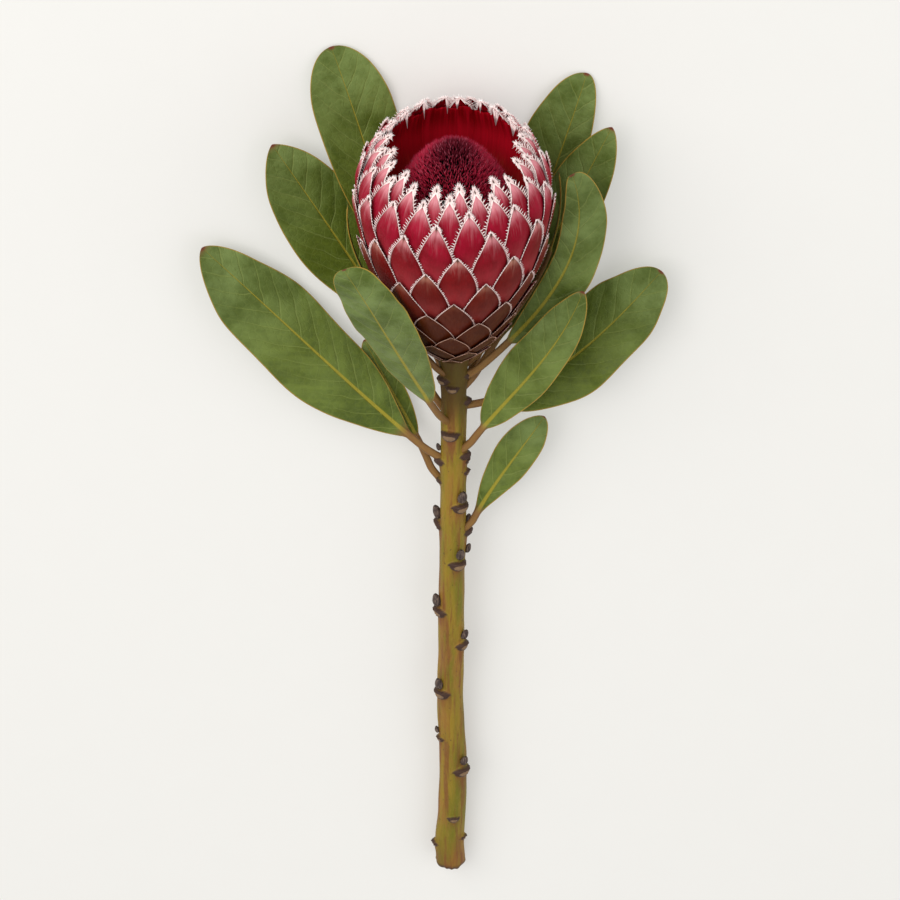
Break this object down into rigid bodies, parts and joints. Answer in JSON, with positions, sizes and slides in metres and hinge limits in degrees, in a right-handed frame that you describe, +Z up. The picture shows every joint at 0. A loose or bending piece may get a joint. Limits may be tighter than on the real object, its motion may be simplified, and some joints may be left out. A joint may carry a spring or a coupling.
{
  "type": "protea flower stem",
  "caption": "Cut protea flower lying on its back: a woody stem with leathery leaves and a goblet of overlapping bracts round a dome of florets.",
  "frame": {"origin": "on the resting surface, under the middle of the plant's bounding box", "axes": "+Z up from the resting surface, +Y along the stem from its cut end to the flower head, +X to the right of the side that shows best"},
  "size_m": [0.178, 0.3708, 0.0786],
  "materials": {
    "bark": "rough, semi-matte green bark",
    "bract_skin": "leathery with a fine bloom",
    "bract_rim": "leathery with downy edges",
    "floret_hair": "soft hair",
    "leaf": "leathery, satin"
  },
  "bodies": {
    "root": {"stem": "bark", "bracts_outer": "bract_skin", "bracts_inner": "bract_rim", "florets": "floret_hair", "leaf_left_back_upper": "leaf", "leaf_left_back_lower": "leaf", "leaf_left_large": "leaf", "leaf_left_front": "leaf", "leaf_left_small": "leaf", "leaf_right_back_upper": "leaf", "leaf_right_back_lower": "leaf", "leaf_right_flank": "leaf", "leaf_right_large": "leaf", "leaf_right_front": "leaf", "leaf_right_small": "leaf", "leaflet_left": "leaf", "leaflet_right": "leaf"}
  },
  "joints": []
}
